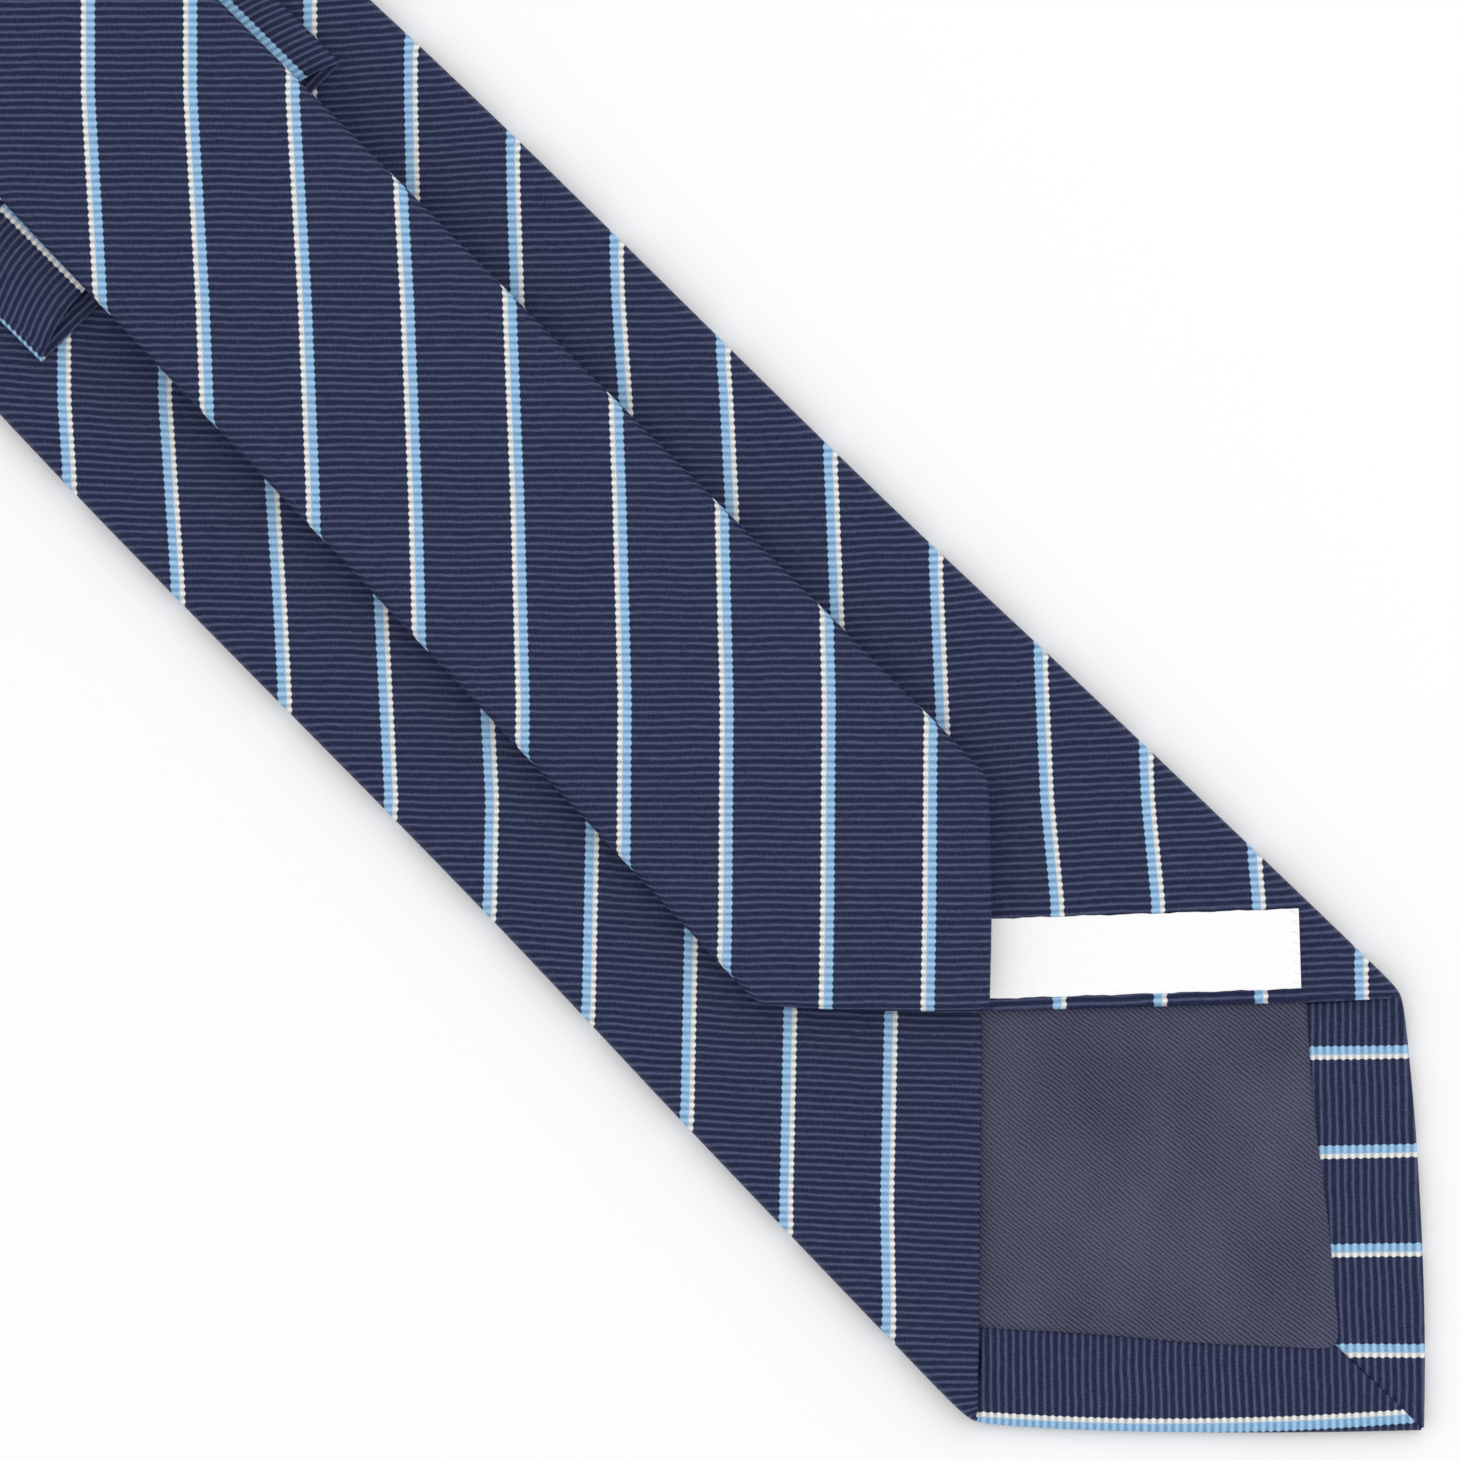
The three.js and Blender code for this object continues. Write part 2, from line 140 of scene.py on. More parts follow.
def place(end, s, y, z):
    """From the tie's own lengths to the row frame, in metres."""
    s, y, z = np.broadcast_arrays(np.asarray(s, float), np.asarray(y, float), np.asarray(z, float))
    if end["sign"] > 0:
        lean = 1.5 * (1 - smooth(s / 52.0))
        points = [WIDE_TIP_X - s + 0.7 * (1 - smooth(s / 25.0)), y + lean, z]
    else:
        bow = TAIL_BOW * np.sin(np.pi * s / BOW_LENGTH)
        points = [NARROW_TIP_X - s, y + bow, tail_back(s) + STACK - z]
    return np.stack(points, -1) * MM


# ---- cloth pattern: distance across the stripes and along them, in mm ----

DIAGONAL = math.sqrt(0.5)
ROLL_EXTRA = 1.9            # cloth taken up by the thickness of a side fold

# Where the stripes lie on each part that shows, as offsets in mm at distances in mm along the
# stripes: on the tail's face, on the two flaps of the blade and on its two hems.
TAIL_STRIPES = ([-88.2, -60.2, -32.2, -4.2, 23.8, 37.8], [-0.97, 0.69, 1.81, 2.56, 2.37, 2.14])
FLAP_STRIPES = {
    1: ([-88.2, -74.2, -60.2, -46.2, -32.2, -18.2, -4.2, 9.8, 23.8, 37.8],
        [1.4, 1.68, 2.17, 3.19, 3.92, 4.48, 5.11, 5.74, 7.14, 7.49]),
    -1: ([-46.2, -18.2, 9.8, 37.8, 51.8, 65.8, 79.8],
         [9.31, 11.23, 12.74, 12.15, 11.86, 11.55, 11.83])}
HEM_STRIPES = {1: 6.65, -1: 1.45}
HEM_SAG = 1.5               # the lower hem's stripe keeps to that hem's bowed edge
STRIPE_ORIGIN = 102.2       # from the middle of the stretch seen to where the offsets count from
TAIL_STRETCH = 0.993
SEEN_END = 290.0            # the flaps' stripes are read off up to this distance from the tip


def turned(x, y):
    """Across and along the stripes that show from above, from row-frame x and y in mm."""
    right = (x - VIEW_X + y - VIEW_Y) * DIAGONAL
    down = (x - VIEW_X - y + VIEW_Y) * DIAGONAL
    return right, down


def pair(across, along):
    """A pattern position: distance across the stripes, and along them."""
    return np.stack(np.broadcast_arrays(across, along), -1)


def tail_pattern(s, y):
    """The tail's cloth, with its stripes where they show on its face."""
    bow = TAIL_BOW * np.sin(np.pi * np.clip(s, 0, BOW_LENGTH) / BOW_LENGTH)
    right, down = turned(NARROW_TIP_X - s, y + bow)
    offset = np.interp(down, *TAIL_STRIPES) - STRIPE_ORIGIN
    return pair((right - offset) * TAIL_STRETCH, down)


def blade_face(s, y):
    """The blade's cloth laid flat, before the flaps' stripes are drawn to their places."""
    return pair((s + y) * DIAGONAL - 53.32, (s - y) * DIAGONAL)


def seen_flap(s, y, hand):
    """A flap of the blade, with its stripes where they show."""
    right, down = turned(WIDE_TIP_X - s, y)
    offset = np.interp(down, *FLAP_STRIPES[hand]) - STRIPE_ORIGIN
    return pair(offset - right, down)


def seen_hem(s, y, hand):
    """A hem of the blade's point, with its stripe where it shows."""
    right, down = turned(WIDE_TIP_X - s, y)
    offset = HEM_STRIPES[hand] - STRIPE_ORIGIN
    if hand < 0:
        offset = offset + HEM_SAG * np.sin(math.pi * np.clip((right - 35.0) / 61.0, 0, 1))
    return pair((offset - down) * hand, hand * right + 95.4 - 96.0 * (1 + hand))


def fold_slip(hand):
    """How far the flap's stripes stray from the face's at the side fold, by distance from the
    tip."""
    s = np.arange(BLADE["tip"], SEEN_END + 0.5, 1.0)
    h = half_at(BLADE, s)
    on_flap = seen_flap(s, hand * (h - ROLL_RADIUS), hand)[:, 0]
    on_face = blade_face(s, hand * (h - ROLL_RADIUS + 2.7 + ROLL_EXTRA))[:, 0]
    stray = np.unwrap(on_flap - on_face, period=STRIPE_PITCH)
    return s, stray - STRIPE_PITCH * round(float(stray.mean()) / STRIPE_PITCH)


SLIP = {hand: fold_slip(hand) for hand in (-1, 1)}


def blade_pattern(s, y):
    """Face and what lies past its folds, drawn to meet the flaps' stripes."""
    flat = blade_face(s, y)
    for hand in (-1, 1):
        near = smooth((hand * y / half_at(BLADE, np.maximum(s, 20.0)) - 0.15) / 0.8)
        flat[..., 0] += np.interp(s, *SLIP[hand]) * near
    return flat


def pattern(end, s, y):
    return blade_pattern(s, y) if end["sign"] > 0 else tail_pattern(s, y)


def back_pattern(end, ps, py, ms, my, hand, fold, hem=False):
    """On a hem or flap: ps and py are where it lies, ms and my where that is on the flat cloth;
    fold is the column next to the fold."""
    flat = pattern(end, ms, my)
    if end["sign"] < 0:
        return flat
    seen = (seen_hem if hem else seen_flap)(ps, py, hand)
    turns = (flat[:, fold, 0] - seen[:, fold, 0]) / STRIPE_PITCH
    if hem:
        turns = np.full(len(turns), turns[: int(end["tip"] / 2)].mean())
    across = seen[..., 0] + STRIPE_PITCH * np.round(turns)[:, None]
    if hem:
        return pair(across, seen[..., 1])
    unseen = smooth((ps - SEEN_END + 20.0) / 40.0)
    return pair(across * (1 - unseen) + flat[..., 0] * unseen, flat[..., 1])


def relief(s, y, seed=0.0):
    """Slight unevenness of pressed cloth, in mm."""
    return (0.07 * np.sin(s / 19.0 + 1.4 * np.sin(y / 14.0 + seed) + seed)
            * np.sin(y / 12.0 + 0.6 + seed)
            + 0.04 * np.sin(s / 7.7 - y / 9.3 + 2.0 * seed)
            + 0.025 * np.sin(s / 3.9 + y / 5.1 + seed))


# ---- mesh building ----

def cloth_mesh(name, patches, thickness, material, sharp_rim=True):
    """One piece of cloth with two sides and a rim, from patches of (points, uv) that share
    borders."""
    lookup, points, faces, uvs = {}, [], [], []
    for grid, uv in patches:
        rows, columns = grid.shape[:2]
        index = np.empty((rows, columns), int)
        keys = np.round(grid / 4e-6).astype(np.int64)
        for r in range(rows):
            for c in range(columns):
                key = tuple(keys[r, c])
                if key not in lookup:
                    lookup[key] = len(points)
                    points.append(grid[r, c])
                index[r, c] = lookup[key]
        for r in range(rows - 1):
            for c in range(columns - 1):
                ring = [(r, c), (r + 1, c), (r + 1, c + 1), (r, c + 1)]
                face, corner = [], []
                for a, b in ring:
                    if index[a, b] not in face:
                        face.append(int(index[a, b]))
                        corner.append(uv[a, b])
                if len(face) > 2:
                    faces.append(face)
                    uvs.append(corner)
    points = np.array(points)
    normal = np.zeros_like(points)
    for face in faces:
        p = points[face]
        n = np.cross(p[1] - p[0], p[2] - p[0])
        if len(face) == 4:
            n = n + np.cross(p[2] - p[0], p[3] - p[0])
        for i in face:
            normal[i] += n
    normal /= np.maximum(np.linalg.norm(normal, axis=1), 1e-12)[:, None]
    half = thickness / 2 * MM
    count = len(points)
    all_points = np.concatenate([points + normal * half, points - normal * half])
    polygons, corner_uv, edges = [], [], {}
    for face, corner in zip(faces, uvs):
        polygons.extend([face, [i + count for i in reversed(face)]])
        corner_uv.extend(corner + corner[::-1])
        n = len(face)
        for k in range(n):
            j = (k + 1) % n
            a, b = face[k], face[j]
            edges.setdefault((min(a, b), max(a, b)), []).append((a, b, corner[k], corner[j]))
    smooth_flags = [True] * len(polygons)
    for sides in edges.values():
        if len(sides) == 1:
            a, b, ua, ub = sides[0]
            polygons.append([b, a, a + count, b + count])
            corner_uv.extend([ub, ua, ua, ub])
            smooth_flags.append(not sharp_rim)
    return mesh_object(name, all_points, polygons, corner_uv, smooth_flags, material)


def mesh_object(name, points, polygons, corner_uv, smooth_flags, material):
    """A mesh in the scene; its UV map holds the pattern positions the materials read."""
    mesh = bpy.data.meshes.new(name)
    mesh.from_pydata([tuple(p) for p in points], [], polygons)
    layer = mesh.uv_layers.new(name="cloth")
    layer.data.foreach_set("uv", np.array(corner_uv, dtype=np.float32).reshape(-1))
    mesh.polygons.foreach_set("use_smooth", smooth_flags)
    mesh.materials.append(material)
    mesh.update()
    obj = bpy.data.objects.new(name, mesh)
    bpy.context.scene.collection.objects.link(obj)
    return obj


def tube(name, paths, radius, material, sides=6):
    """Thread: round tubes along paths of points in mm, in the row frame."""
    points, polygons, corner_uv = [], [], []
    for path in paths:
        path = np.array(path, float)
        n = len(path)
        tangent = np.gradient(path, axis=0)
        tangent /= np.maximum(np.linalg.norm(tangent, axis=1), 1e-9)[:, None]
        side = np.cross(tangent, np.array([0.0, 0.0, 1.0]))
        flat = np.linalg.norm(side, axis=1) < 0.2
        side[flat] = np.cross(tangent[flat], np.array([0.0, 1.0, 0.0]))
        side /= np.linalg.norm(side, axis=1)[:, None]
        over = np.cross(side, tangent)
        length = np.concatenate([[0], np.cumsum(np.linalg.norm(np.diff(path, axis=0), axis=1))])
        base = len(points)
        for i in range(n):
            r = radius * (0.55 if i in (0, n - 1) else 1.0)
            for k in range(sides):
                a = 2 * math.pi * k / sides
                points.append((path[i] + side[i] * r * math.cos(a)
                               + over[i] * r * math.sin(a)) * MM)
        for i in range(n - 1):
            for k in range(sides):
                j = (k + 1) % sides
                ring = [(i, k), (i, j), (i + 1, j), (i + 1, k)]
                polygons.append([base + a * sides + b for a, b in ring])
                turns = [k, k + 1, k + 1, k]
                corner_uv.extend([(length[a], t / sides) for (a, _), t in zip(ring, turns)])
        polygons.append([base + k for k in reversed(range(sides))])
        corner_uv.extend([(0, 0)] * sides)
        polygons.append([base + (n - 1) * sides + k for k in range(sides)])
        corner_uv.extend([(length[-1], 0)] * sides)
    return mesh_object(name, points, polygons, corner_uv, [True] * len(polygons), material)


# ---- materials ----

def linear(r, g, b):
    """A colour from its 0 to 255 screen values."""
    def one(v):
        v /= 255
        return v / 12.92 if v <= 0.04045 else ((v + 0.055) / 1.055) ** 2.4
    return (one(r), one(g), one(b), 1.0)


class Graph:
    """A material's node tree, with short calls for the nodes used here."""

    def __init__(self, name):
        self.material = bpy.data.materials.new(name)
        self.material.use_nodes = True
        self.tree = self.material.node_tree
        self.shader = self.tree.nodes["Principled BSDF"]
        uv = self.tree.nodes.new("ShaderNodeUVMap")
        uv.uv_map = "cloth"
        split = self.tree.nodes.new("ShaderNodeSeparateXYZ")
        self.tree.links.new(uv.outputs[0], split.inputs[0])
        self.vector = uv.outputs[0]
        self.across = split.outputs[0]
        self.along = split.outputs[1]

    def put(self, socket, value):
        if isinstance(value, bpy.types.NodeSocket):
            self.tree.links.new(value, socket)
        else:
            socket.default_value = value

    def math(self, operation, a, b=0.0, c=0.0, clamp=False):
        node = self.tree.nodes.new("ShaderNodeMath")
        node.operation = operation
        node.use_clamp = clamp
        for socket, value in zip(node.inputs, (a, b, c)):
            self.put(socket, value)
        return node.outputs[0]

    def plus(self, a, b, clamp=False):
        return self.math("ADD", a, b, clamp=clamp)

    def times(self, a, b):
        return self.math("MULTIPLY", a, b)

    def about(self, value, size):
        """How far a value lies from 0.5, times a size."""
        return self.times(self.math("SUBTRACT", value, 0.5), size)

    def stretch(self, x, y):
        node = self.tree.nodes.new("ShaderNodeVectorMath")
        node.operation = "MULTIPLY"
        self.put(node.inputs[0], self.vector)
        node.inputs[1].default_value = (x, y, 1.0)
        return node.outputs[0]

    def noise(self, vector, scale, detail=2.0, rough=0.5):
        node = self.tree.nodes.new("ShaderNodeTexNoise")
        self.put(node.inputs["Vector"], vector)
        node.inputs["Scale"].default_value = scale
        node.inputs["Detail"].default_value = detail
        node.inputs["Roughness"].default_value = rough
        return node.outputs[0]

    def ramp(self, value, low, high):
        node = self.tree.nodes.new("ShaderNodeMapRange")
        node.interpolation_type = "SMOOTHSTEP"
        self.put(node.inputs["Value"], value)
        node.inputs["From Min"].default_value = low
        node.inputs["From Max"].default_value = high
        return node.outputs[0]

    def mix(self, share, a, b):
        node = self.tree.nodes.new("ShaderNodeMix")
        node.data_type = "RGBA"
        self.put(node.inputs["Factor"], share)
        self.put(node.inputs[6], a)     # the colour sockets A, B and Result
        self.put(node.inputs[7], b)
        return node.outputs[2]

    def wave(self, value, pitch):
        """1 on each thread's middle, 0 between threads."""
        turns = self.times(value, 2 * math.pi / pitch)
        return self.math("MULTIPLY_ADD", self.math("COSINE", turns), 0.5, 0.5)

    def finish(self, colour, height, roughness, sheen=0.0, tint=(1, 1, 1, 1), specular=0.4,
               bump=1.0):
        s = self.shader
        self.put(s.inputs["Base Color"], colour)
        self.put(s.inputs["Roughness"], roughness)
        s.inputs["Specular IOR Level"].default_value = specular
        s.inputs["Sheen Weight"].default_value = sheen
        s.inputs["Sheen Roughness"].default_value = 0.45
        s.inputs["Sheen Tint"].default_value = tint
        node = self.tree.nodes.new("ShaderNodeBump")
        node.inputs["Strength"].default_value = bump
        node.inputs["Distance"].default_value = MM
        self.put(node.inputs["Height"], height)
        self.put(s.inputs["Normal"], node.outputs[0])
        return self.material


def silk(name):
    """Navy repp: ribs across the stripes, fine warp threads, paired white and blue stripes."""
    g = Graph(name)
    drift = g.noise(g.stretch(0.12, 0.05), 1.0, 1.0)
    wobble = g.noise(g.stretch(0.35, 0.9), 1.0, 2.0)
    place_along = g.plus(g.along, g.times(drift, 0.5))
    place_along = g.plus(place_along, g.times(wobble, 0.22))
    rib = g.wave(place_along, RIB_PITCH)
    thread = g.noise(g.stretch(5.5, 0.9), 1.0, 1.0)
    slub = g.noise(g.stretch(0.5, 4.0), 1.0, 2.0)
    speck = g.noise(g.stretch(4.2, 3.2), 1.0, 2.0, 0.7)
    # painted highlight on each rib's crest and painted shade in the grooves between ribs, mixed
    # with random thread tone
    crest = g.math("POWER", rib, 2.5)
    lit = g.times(crest, g.math("MULTIPLY_ADD", slub, 1.3, 0.28))
    lit = g.plus(lit, g.about(thread, 0.6))
    lit = g.plus(lit, g.about(speck, 1.0), clamp=True)
    navy = g.mix(lit, linear(18, 26, 59), linear(74, 81, 111))

    shifted = g.plus(g.across, STRIPE_PITCH * 400.5)
    t = g.math("SUBTRACT", g.math("MODULO", shifted, STRIPE_PITCH), STRIPE_PITCH / 2)
    ragged = g.about(rib, 0.16)
    fuzz = g.about(speck, 0.12)
    t_out = g.plus(g.math("ABSOLUTE", t), fuzz)
    inside = g.math("SUBTRACT", 1.0, g.ramp(g.math("SUBTRACT", t_out, ragged), 0.86, 1.0))
    is_blue = g.ramp(g.plus(g.plus(t, ragged), fuzz), -0.33, -0.19)
    twist = g.noise(g.stretch(3.0, 2.6), 1.0, 2.0, 0.6)
    # the stripes' threads get painted highlight on the rib crests and painted shade in the rib
    # grooves, with random twist tone
    shade = g.plus(g.times(rib, 0.75), g.times(twist, 0.5), clamp=True)
    white = g.mix(shade, linear(152, 153, 158), linear(238, 238, 234))
    blue = g.mix(shade, linear(84, 128, 176), linear(160, 200, 230))
    stripe = g.mix(is_blue, white, blue)
    colour = g.mix(inside, navy, stripe)

    height = g.times(rib, 0.075)
    height = g.plus(height, g.times(thread, 0.035))
    height = g.plus(height, g.times(inside, 0.07))
    height = g.plus(height, g.times(speck, 0.05))
    rough = g.math("MULTIPLY_ADD", rib, -0.08, 0.56)
    return g.finish(colour, height, rough, 0.06, linear(120, 140, 215), 0.16, 0.9)


def satin(name):
    """Slate lining with a fine diagonal twill and a soft shine."""
    g = Graph(name)
    cross = g.math("SUBTRACT", g.across, g.times(g.along, 0.85))
    wobble = g.noise(g.stretch(0.3, 0.3), 1.0, 1.0)
    twill = g.wave(g.plus(cross, g.times(wobble, 0.9)), 0.72)
    speck = g.noise(g.stretch(2.6, 4.4), 1.0, 2.0, 0.7)
    cloud = g.noise(g.stretch(0.05, 0.08), 1.0, 2.0)
    lit = g.plus(g.times(twill, 0.55), g.times(speck, 0.9))
    lit = g.plus(lit, g.math("MULTIPLY_ADD", cloud, 0.5, -0.52), clamp=True)
    colour = g.mix(lit, linear(20, 22, 40), linear(91, 94, 122))
    height = g.plus(g.times(twill, 0.05), g.times(speck, 0.02))
    rough = g.math("MULTIPLY_ADD", twill, -0.1, 0.48)
    return g.finish(colour, height, rough, 0.05, linear(200, 205, 230), 0.2, 0.8)


def woven(name):
    """Plain white label tape: close weft lines over fine warp."""
    g = Graph(name)
    weft = g.wave(g.along, 0.34)
    warp = g.wave(g.across, 0.27)
    fleck = g.noise(g.stretch(2.2, 3.1), 1.0, 2.0, 0.6)
    lit = g.plus(g.times(weft, 0.45), g.times(warp, 0.2))
    lit = g.plus(lit, g.times(fleck, 0.5), clamp=True)
    colour = g.mix(lit, linear(240, 240, 243), linear(255, 255, 255))
    height = g.plus(g.times(weft, 0.045), g.times(warp, 0.025))
    return g.finish(colour, height, 0.62, 0.1, (1, 1, 1, 1), 0.35, 0.6)


def wool(name):
    """Brushed wool interlining."""
    g = Graph(name)
    hair = g.noise(g.stretch(0.6, 2.4), 1.0, 4.0, 0.7)
    cloud = g.noise(g.stretch(0.2, 0.2), 1.0, 2.0)
    grid = g.times(g.wave(g.across, 1.3), g.wave(g.along, 1.5))
    lit = g.plus(g.times(hair, 0.7), g.times(grid, 0.3))
    lit = g.plus(lit, g.math("MULTIPLY_ADD", cloud, 0.3, -0.1), clamp=True)
    colour = g.mix(lit, linear(176, 168, 150), linear(232, 226, 211))
    height = g.plus(g.times(hair, 0.25), g.times(grid, 0.12))
    return g.finish(colour, height, 0.92, 0.35, linear(235, 230, 215), 0.2, 0.8)


def thread(name, dark, light):
    """Twisted sewing thread: slanting plies."""
    g = Graph(name)
    ply = g.wave(g.plus(g.across, g.times(g.along, 0.5)), 0.5)
    hair = g.noise(g.stretch(3.0, 6.0), 1.0, 2.0, 0.6)
    lit = g.plus(g.times(ply, 0.6), g.times(hair, 0.5), clamp=True)
    colour = g.mix(lit, dark, light)
    height = g.times(ply, 0.06)
    return g.finish(colour, height, 0.5, 0.1, light, 0.4, 0.6)


SILK = silk("striped_silk")
SATIN = satin("satin_lining")
LABEL = woven("woven_label")
WOOL = wool("wool_interlining")
NAVY_THREAD = thread("sewing_thread", linear(18, 22, 44), linear(70, 78, 116))
WHITE_THREAD = thread("label_thread", linear(238, 238, 240), linear(255, 255, 255))


# ---- one end of the tie ----

def stations(end):
    """Distances of an end's rows from its tip, close together where its edge turns."""
    tip, join = end["tip"], end["join"]
    near_tip = [0.35, 0.8, 1.3, 2.0, 2.8, 3.8, 5.0, 6.4]
    straight = list(np.arange(8.0, tip - 4.5, 2.0))
    corner = list(np.arange(tip - 4.5, tip + 4.5, 0.6))
    rest = list(np.linspace(tip + 4.6, join, int((join - tip) / 2.6)))
    return np.array(near_tip + straight + corner + rest)


def round_fold(angles, lift):
    """Length of cloth up to each angle round a side fold that lifts it by twice lift."""
    steps = np.hypot(np.diff(np.sin(angles)) * ROLL_RADIUS, np.diff(np.cos(angles)) * lift)
    return np.cumsum(np.r_[0, steps])


def spread(s, half, columns):
    """Rows at the distances s, each with columns from one side at -half to the other."""
    return np.repeat(s[:, None], columns, 1), half[:, None] * np.linspace(-1, 1, columns)[None, :]


def end_cloth(end, name, seed):
    """Face, rolled edges, hems mitred at the tip and flaps with turned-in edges, in one piece."""
    s = stations(end)
    h = half_at(end, s)
    slope = (half_at(end, s + 0.05) - half_at(end, s - 0.05)) / 0.1
    norm = np.hypot(1, slope)
    ns, ny = -slope / norm, 1 / norm
    on_side = smooth((s - end["tip"] + 3.0) / 6.0)
    top = HEM_LEVEL + (FLAP_LEVEL - HEM_LEVEL) * on_side
    h = h - CLOTH / 2
    tight = 0.3 + 0.7 * smooth(np.abs(s - end["tip"]) / 6.0)
    radius = np.minimum(ROLL_RADIUS * tight, h / ny * 0.9)
    switch = int(np.searchsorted(s, end["tip"] + 0.1))
    join_slant = smooth((s - (end["join"] - JOIN_EASE)) / JOIN_EASE)

    def at(row_s, y, z):
        """Rows near the bias join slant to 45 degrees."""
        return place(end, row_s + y * join_slant[:, None], y, z)

    def hem_patch(row, row_slope, hs, hy, hz, hand):
        """Part of a hem, folded over at the given rows of the edge."""
        ms, my = reflect(s[row], h[row], row_slope, hs, hy)
        uv = back_pattern(end, hs, hand * hy, ms, hand * my, hand, 0, True)
        return oriented(place(end, hs, hand * hy, hz), uv, hand)

    every = np.arange(len(s))
    patches = []

    # face
    inner_s = s - ns * radius
    inner_y = h - ny * radius
    fs, fy = spread(inner_s, inner_y, 31)
    patches.append((at(fs, fy, FACE_LEVEL), pattern(end, fs + fy * join_slant[:, None], fy)))

    angles = np.linspace(0, math.pi, 10)
    for hand in (-1, 1):
        # rolled edge, from the face round to the back
        lift = (top - FACE_LEVEL)[:, None] / 2
        reach = radius[:, None] * (np.sin(angles)[None, :] - 1)
        rs = s[:, None] + ns[:, None] * reach
        ry = h[:, None] + ny[:, None] * reach
        rz = FACE_LEVEL + lift * (1 - np.cos(angles))[None, :]
        roll = at(rs, hand * ry, rz)
        out = round_fold(angles, 1.6)[None, :]
        share = (angles / math.pi)[None, :, None]
        ws = inner_s[:, None] + ns[:, None] * out
        wy = inner_y[:, None] + ny[:, None] * out
        slant = join_slant[:, None] * hand * ry
        roll_uv = pattern(end, ws + slant, hand * wy)
        ms, my = reflect(s, h, slope, rs, ry)
        flap_uv = back_pattern(end, rs + slant, hand * ry, ms + slant, hand * my, hand, -1)
        hem_uv = back_pattern(end, rs, hand * ry, ms, hand * my, hand, -1, True)
        far_uv = np.where((every >= switch)[:, None, None], flap_uv, hem_uv)
        roll_uv = roll_uv + (far_uv - roll_uv) * smooth(share * 2.0) * (end["sign"] > 0)
        patches.append(oriented(roll, roll_uv, hand))

        # hem of the point, up to the mitre on the centre line
        rows = every[: switch + 1]
        depth_full = np.minimum(end["hem"] + HEM_EXTRA, h / ny - 0.07)[rows]
        mitred = smooth((end["hem"] + HEM_EXTRA - depth_full) / 0.5)[:, None]
        settled = int(np.searchsorted(s, end["tip"] * 0.8))
        ds, dy = ns[rows].copy(), ny[rows].copy()
        ds[settled:], dy[settled:] = ns[settled], ny[settled]
        share = np.array([0, 0.12, 0.25, 0.4, 0.55, 0.7, 0.83, 0.94, 1.0])[None, :]
        start = radius[rows][:, None]
        depth = start + (depth_full[:, None] - start) * share
        hs = inner_s[rows][:, None] - ds[:, None] * (depth - start)
        hy = inner_y[rows][:, None] - dy[:, None] * (depth - start)
        settle = smooth((depth - start) / 3.0)
        hz = top[rows][:, None] * (1 - settle) + HEM_LEVEL * settle
        hz = hz + 0.5 * relief(hs, hy * hand, seed + 2.0) * settle
        hz = hz - 0.25 * mitred * smooth((share - 0.94) / 0.06)
        patches.append(hem_patch(rows, slope[rows], hs, hy, hz, hand))

        # the hem's end, which runs on under the flap as far as the side fold
        run = np.array([1.0, end["width"] / 2 / end["tip"]])
        reach = (half_at(end, end["tip"] + end["hem"]) - 2.0 - hy[-1, -1]) / run[1]
        fan = np.linspace(0, 1, 8)[:, None]
        far_s = hs[-1, -1] + run[0] * reach * fan
        far_y = hy[-1, -1] + run[1] * reach * fan
        steps = np.linspace(0, 1, 9)[None, :]
        hs = hs[-1, 0] + (far_s - hs[-1, 0]) * steps
        hy = hy[-1, 0] + (far_y - hy[-1, 0]) * steps
        hz = hz[-1][None, :] + 0 * hs
        corner = np.full(len(fan), rows[-1])
        patches.append(hem_patch(corner, slope[rows[-2]] + 0 * s[corner], hs, hy, hz, hand))

        # flap, its free edge and the strip turned in under it
        rows = every[switch:]
        outer_s, outer_y = inner_s[rows][:, None], inner_y[rows][:, None]
        first_y, first_s = outer_y[0, 0], s[switch]
        lead = np.clip((end["apex"] - s[rows]) / (end["apex"] - first_s), 0, 1)[:, None]
        centre = -0.8 * hand * (end["sign"] > 0) * (1 - smooth((s[rows] - 100.0) / 80.0))[:, None]
        free = (SEAM_HALF + centre) * (1 - lead) + first_y * lead
        share = np.linspace(0, 1, 17)[None, :]
        gs = outer_s + (s[rows][:, None] - outer_s) * share
        gy = outer_y + (free - outer_y) * share
        settle = smooth((outer_y - gy) / 4.0)
        gz = top[rows][:, None] * (1 - settle) + FLAP_LEVEL * settle
        calm = smooth((gy - free) / 3.0) * settle
        gz = gz + relief(gs, gy * hand, seed + hand) * calm
        turn = np.linspace(0, 1, 6)[None, 1:]
        drop = (FLAP_LEVEL - TURN_IN_LEVEL) / 2
        room = np.clip((outer_y - free) / 8.0, 0, 1)
        ty = free - SEAM_ROUND * np.sin(turn * math.pi) * room
        tz = gz[:, -1:] - drop * (1 - np.cos(turn * math.pi)) * room
        inward = np.linspace(0, 1, 5)[None, 1:]
        uy = free + TURN_IN * room * inward
        uz = tz[:, -1:] + 0 * inward
        gs = np.concatenate([gs, gs[:, -1:] + 0 * turn, gs[:, -1:] + 0 * inward], 1)
        flat_y = np.concatenate(
            [gy, free - 0.8 * turn * room, free - 0.8 * room - TURN_IN * room * inward], 1)
        gy = np.concatenate([gy, ty, uy], 1)
        gz = np.concatenate([gz, tz, uz], 1)
        ms, my = reflect(s[rows], h[rows], slope[rows], gs, flat_y)
        slant = join_slant[rows][:, None] * hand * gy
        uv = back_pattern(end, gs + slant, hand * flat_y, ms + slant, hand * my, hand, 0)
        patches.append(oriented(place(end, gs + slant, hand * gy, gz), uv, hand))
    return cloth_mesh(name, patches, CLOTH, SILK)


